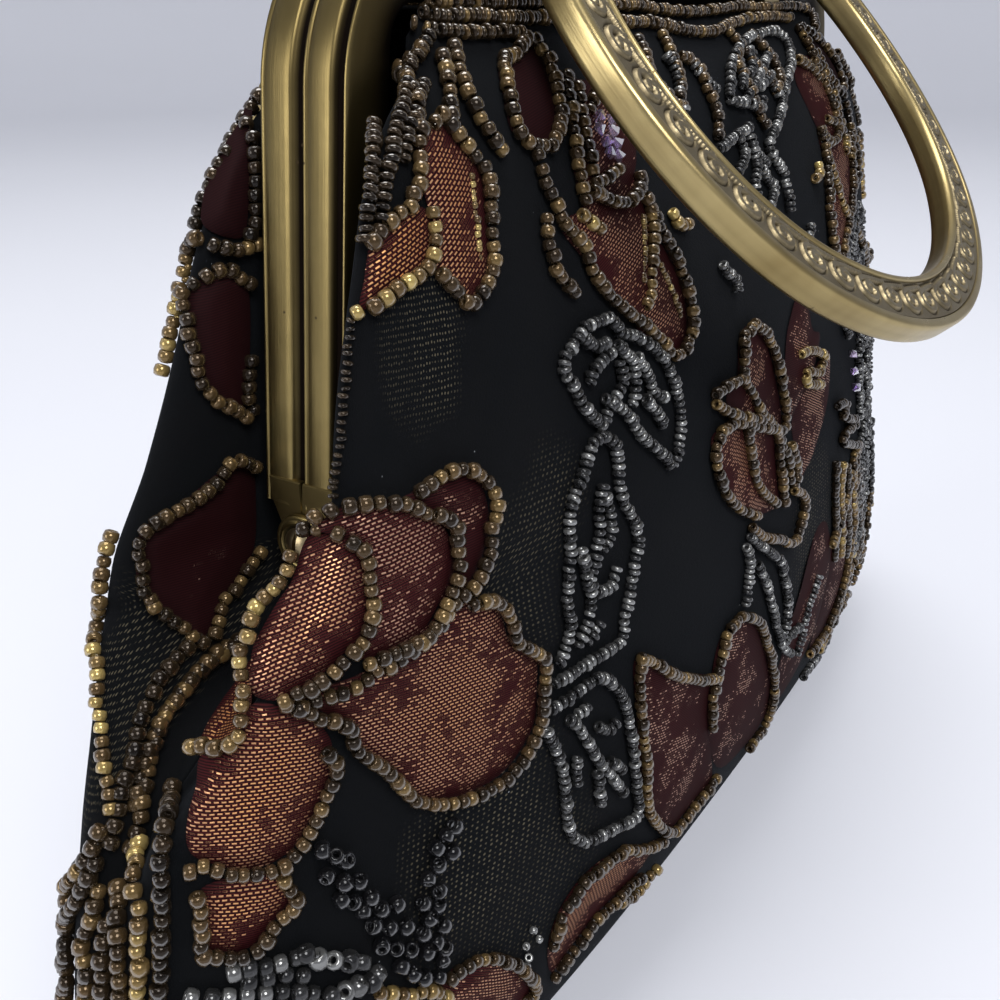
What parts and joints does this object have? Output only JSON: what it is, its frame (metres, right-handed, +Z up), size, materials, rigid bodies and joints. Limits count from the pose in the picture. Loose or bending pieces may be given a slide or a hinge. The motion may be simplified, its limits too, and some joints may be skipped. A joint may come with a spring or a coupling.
{
  "type": "handbag",
  "caption": "Structured evening handbag with a hinged metal purse frame, ball clasp, folding ring handles, and a lined fabric pouch with beaded trim.",
  "frame": {"origin": "centre of the base on the surface that the bag stands on", "axes": "+X along the bag's length, -Y out of the front, +Z up through the frame and clasp"},
  "size_m": [0.2762, 0.1266, 0.19],
  "materials": {
    "frame_brass": "antique satin brass, rubbed bright along the edges",
    "handle_brass": "antique satin brass",
    "handle_relief": "stamped relief with darkened recesses",
    "dark_brass": "dark bronze",
    "velvet": "black velvet with sparse metallic glints",
    "lining_satin": "dark satin",
    "base_board": "pressed board",
    "paper_cord": "twisted paper cord",
    "lame_satin": "maroon cloth woven with copper metallic thread",
    "topaz_beads": "silver-lined smoky topaz seed beads",
    "dark_beads": "gunmetal seed beads",
    "silver_beads": "silver-lined smoky clear seed beads",
    "lilac_crystals": "faceted lilac crystal beads"
  },
  "bodies": {
    "pouch": {"left_hinge_screw": "dark_brass", "right_hinge_screw": "dark_brass", "left_hinge_nut": "dark_brass", "right_hinge_nut": "dark_brass", "front_fold_strip": "velvet", "rear_fold_strip": "velvet", "front_lower_panel": "velvet", "rear_lower_panel": "velvet", "base_panel": "velvet", "base_board": "base_board", "lower_lining": "lining_satin", "front_lower_flowers": "topaz_beads", "rear_lower_flowers": "topaz_beads", "left_stem_beads": "topaz_beads", "right_stem_beads": "topaz_beads"},
    "front_jaw": {"front_frame_rail": "frame_brass", "front_clasp_ball": "frame_brass", "front_channel_cord": "paper_cord", "front_handle_lugs": "frame_brass", "front_handle_pins": "dark_brass", "front_upper_panel": "velvet", "front_upper_lining": "lining_satin", "front_border_beads": "dark_beads", "front_upper_flowers": "topaz_beads"},
    "rear_jaw": {"rear_frame_rail": "frame_brass", "rear_clasp_ball": "frame_brass", "rear_channel_cord": "paper_cord", "rear_handle_lugs": "frame_brass", "rear_handle_pins": "dark_brass", "rear_upper_panel": "velvet", "rear_upper_lining": "lining_satin", "rear_border_beads": "dark_beads", "rear_upper_flowers": "topaz_beads"},
    "front_handle": {"front_handle_face": "handle_brass", "front_handle_back": "handle_brass", "front_handle_scrolls": "handle_relief"},
    "rear_handle": {"rear_handle_face": "handle_brass", "rear_handle_back": "handle_brass", "rear_handle_scrolls": "handle_relief"}
  },
  "joints": [
    {"name": "front_jaw_hinge", "type": "hinge", "parent": "pouch", "child": "front_jaw", "pos_m": [0, 0, 0.098], "axis": [1, 0, 0], "range_deg": [0, 30], "deforming": ["front_fold_strip"]},
    {"name": "rear_jaw_hinge", "type": "hinge", "parent": "pouch", "child": "rear_jaw", "pos_m": [0, 0, 0.098], "axis": [-1, 0, 0], "range_deg": [0, 30], "deforming": ["rear_fold_strip"]},
    {"name": "front_handle_pivot", "type": "hinge", "parent": "front_jaw", "child": "front_handle", "pos_m": [0, -0.0104, 0.1769], "axis": [-1, 0, 0], "range_deg": [-10, 139]},
    {"name": "rear_handle_pivot", "type": "hinge", "parent": "rear_jaw", "child": "rear_handle", "pos_m": [0, 0.0104, 0.1769], "axis": [1, 0, 0], "range_deg": [-10, 139]}
  ]
}
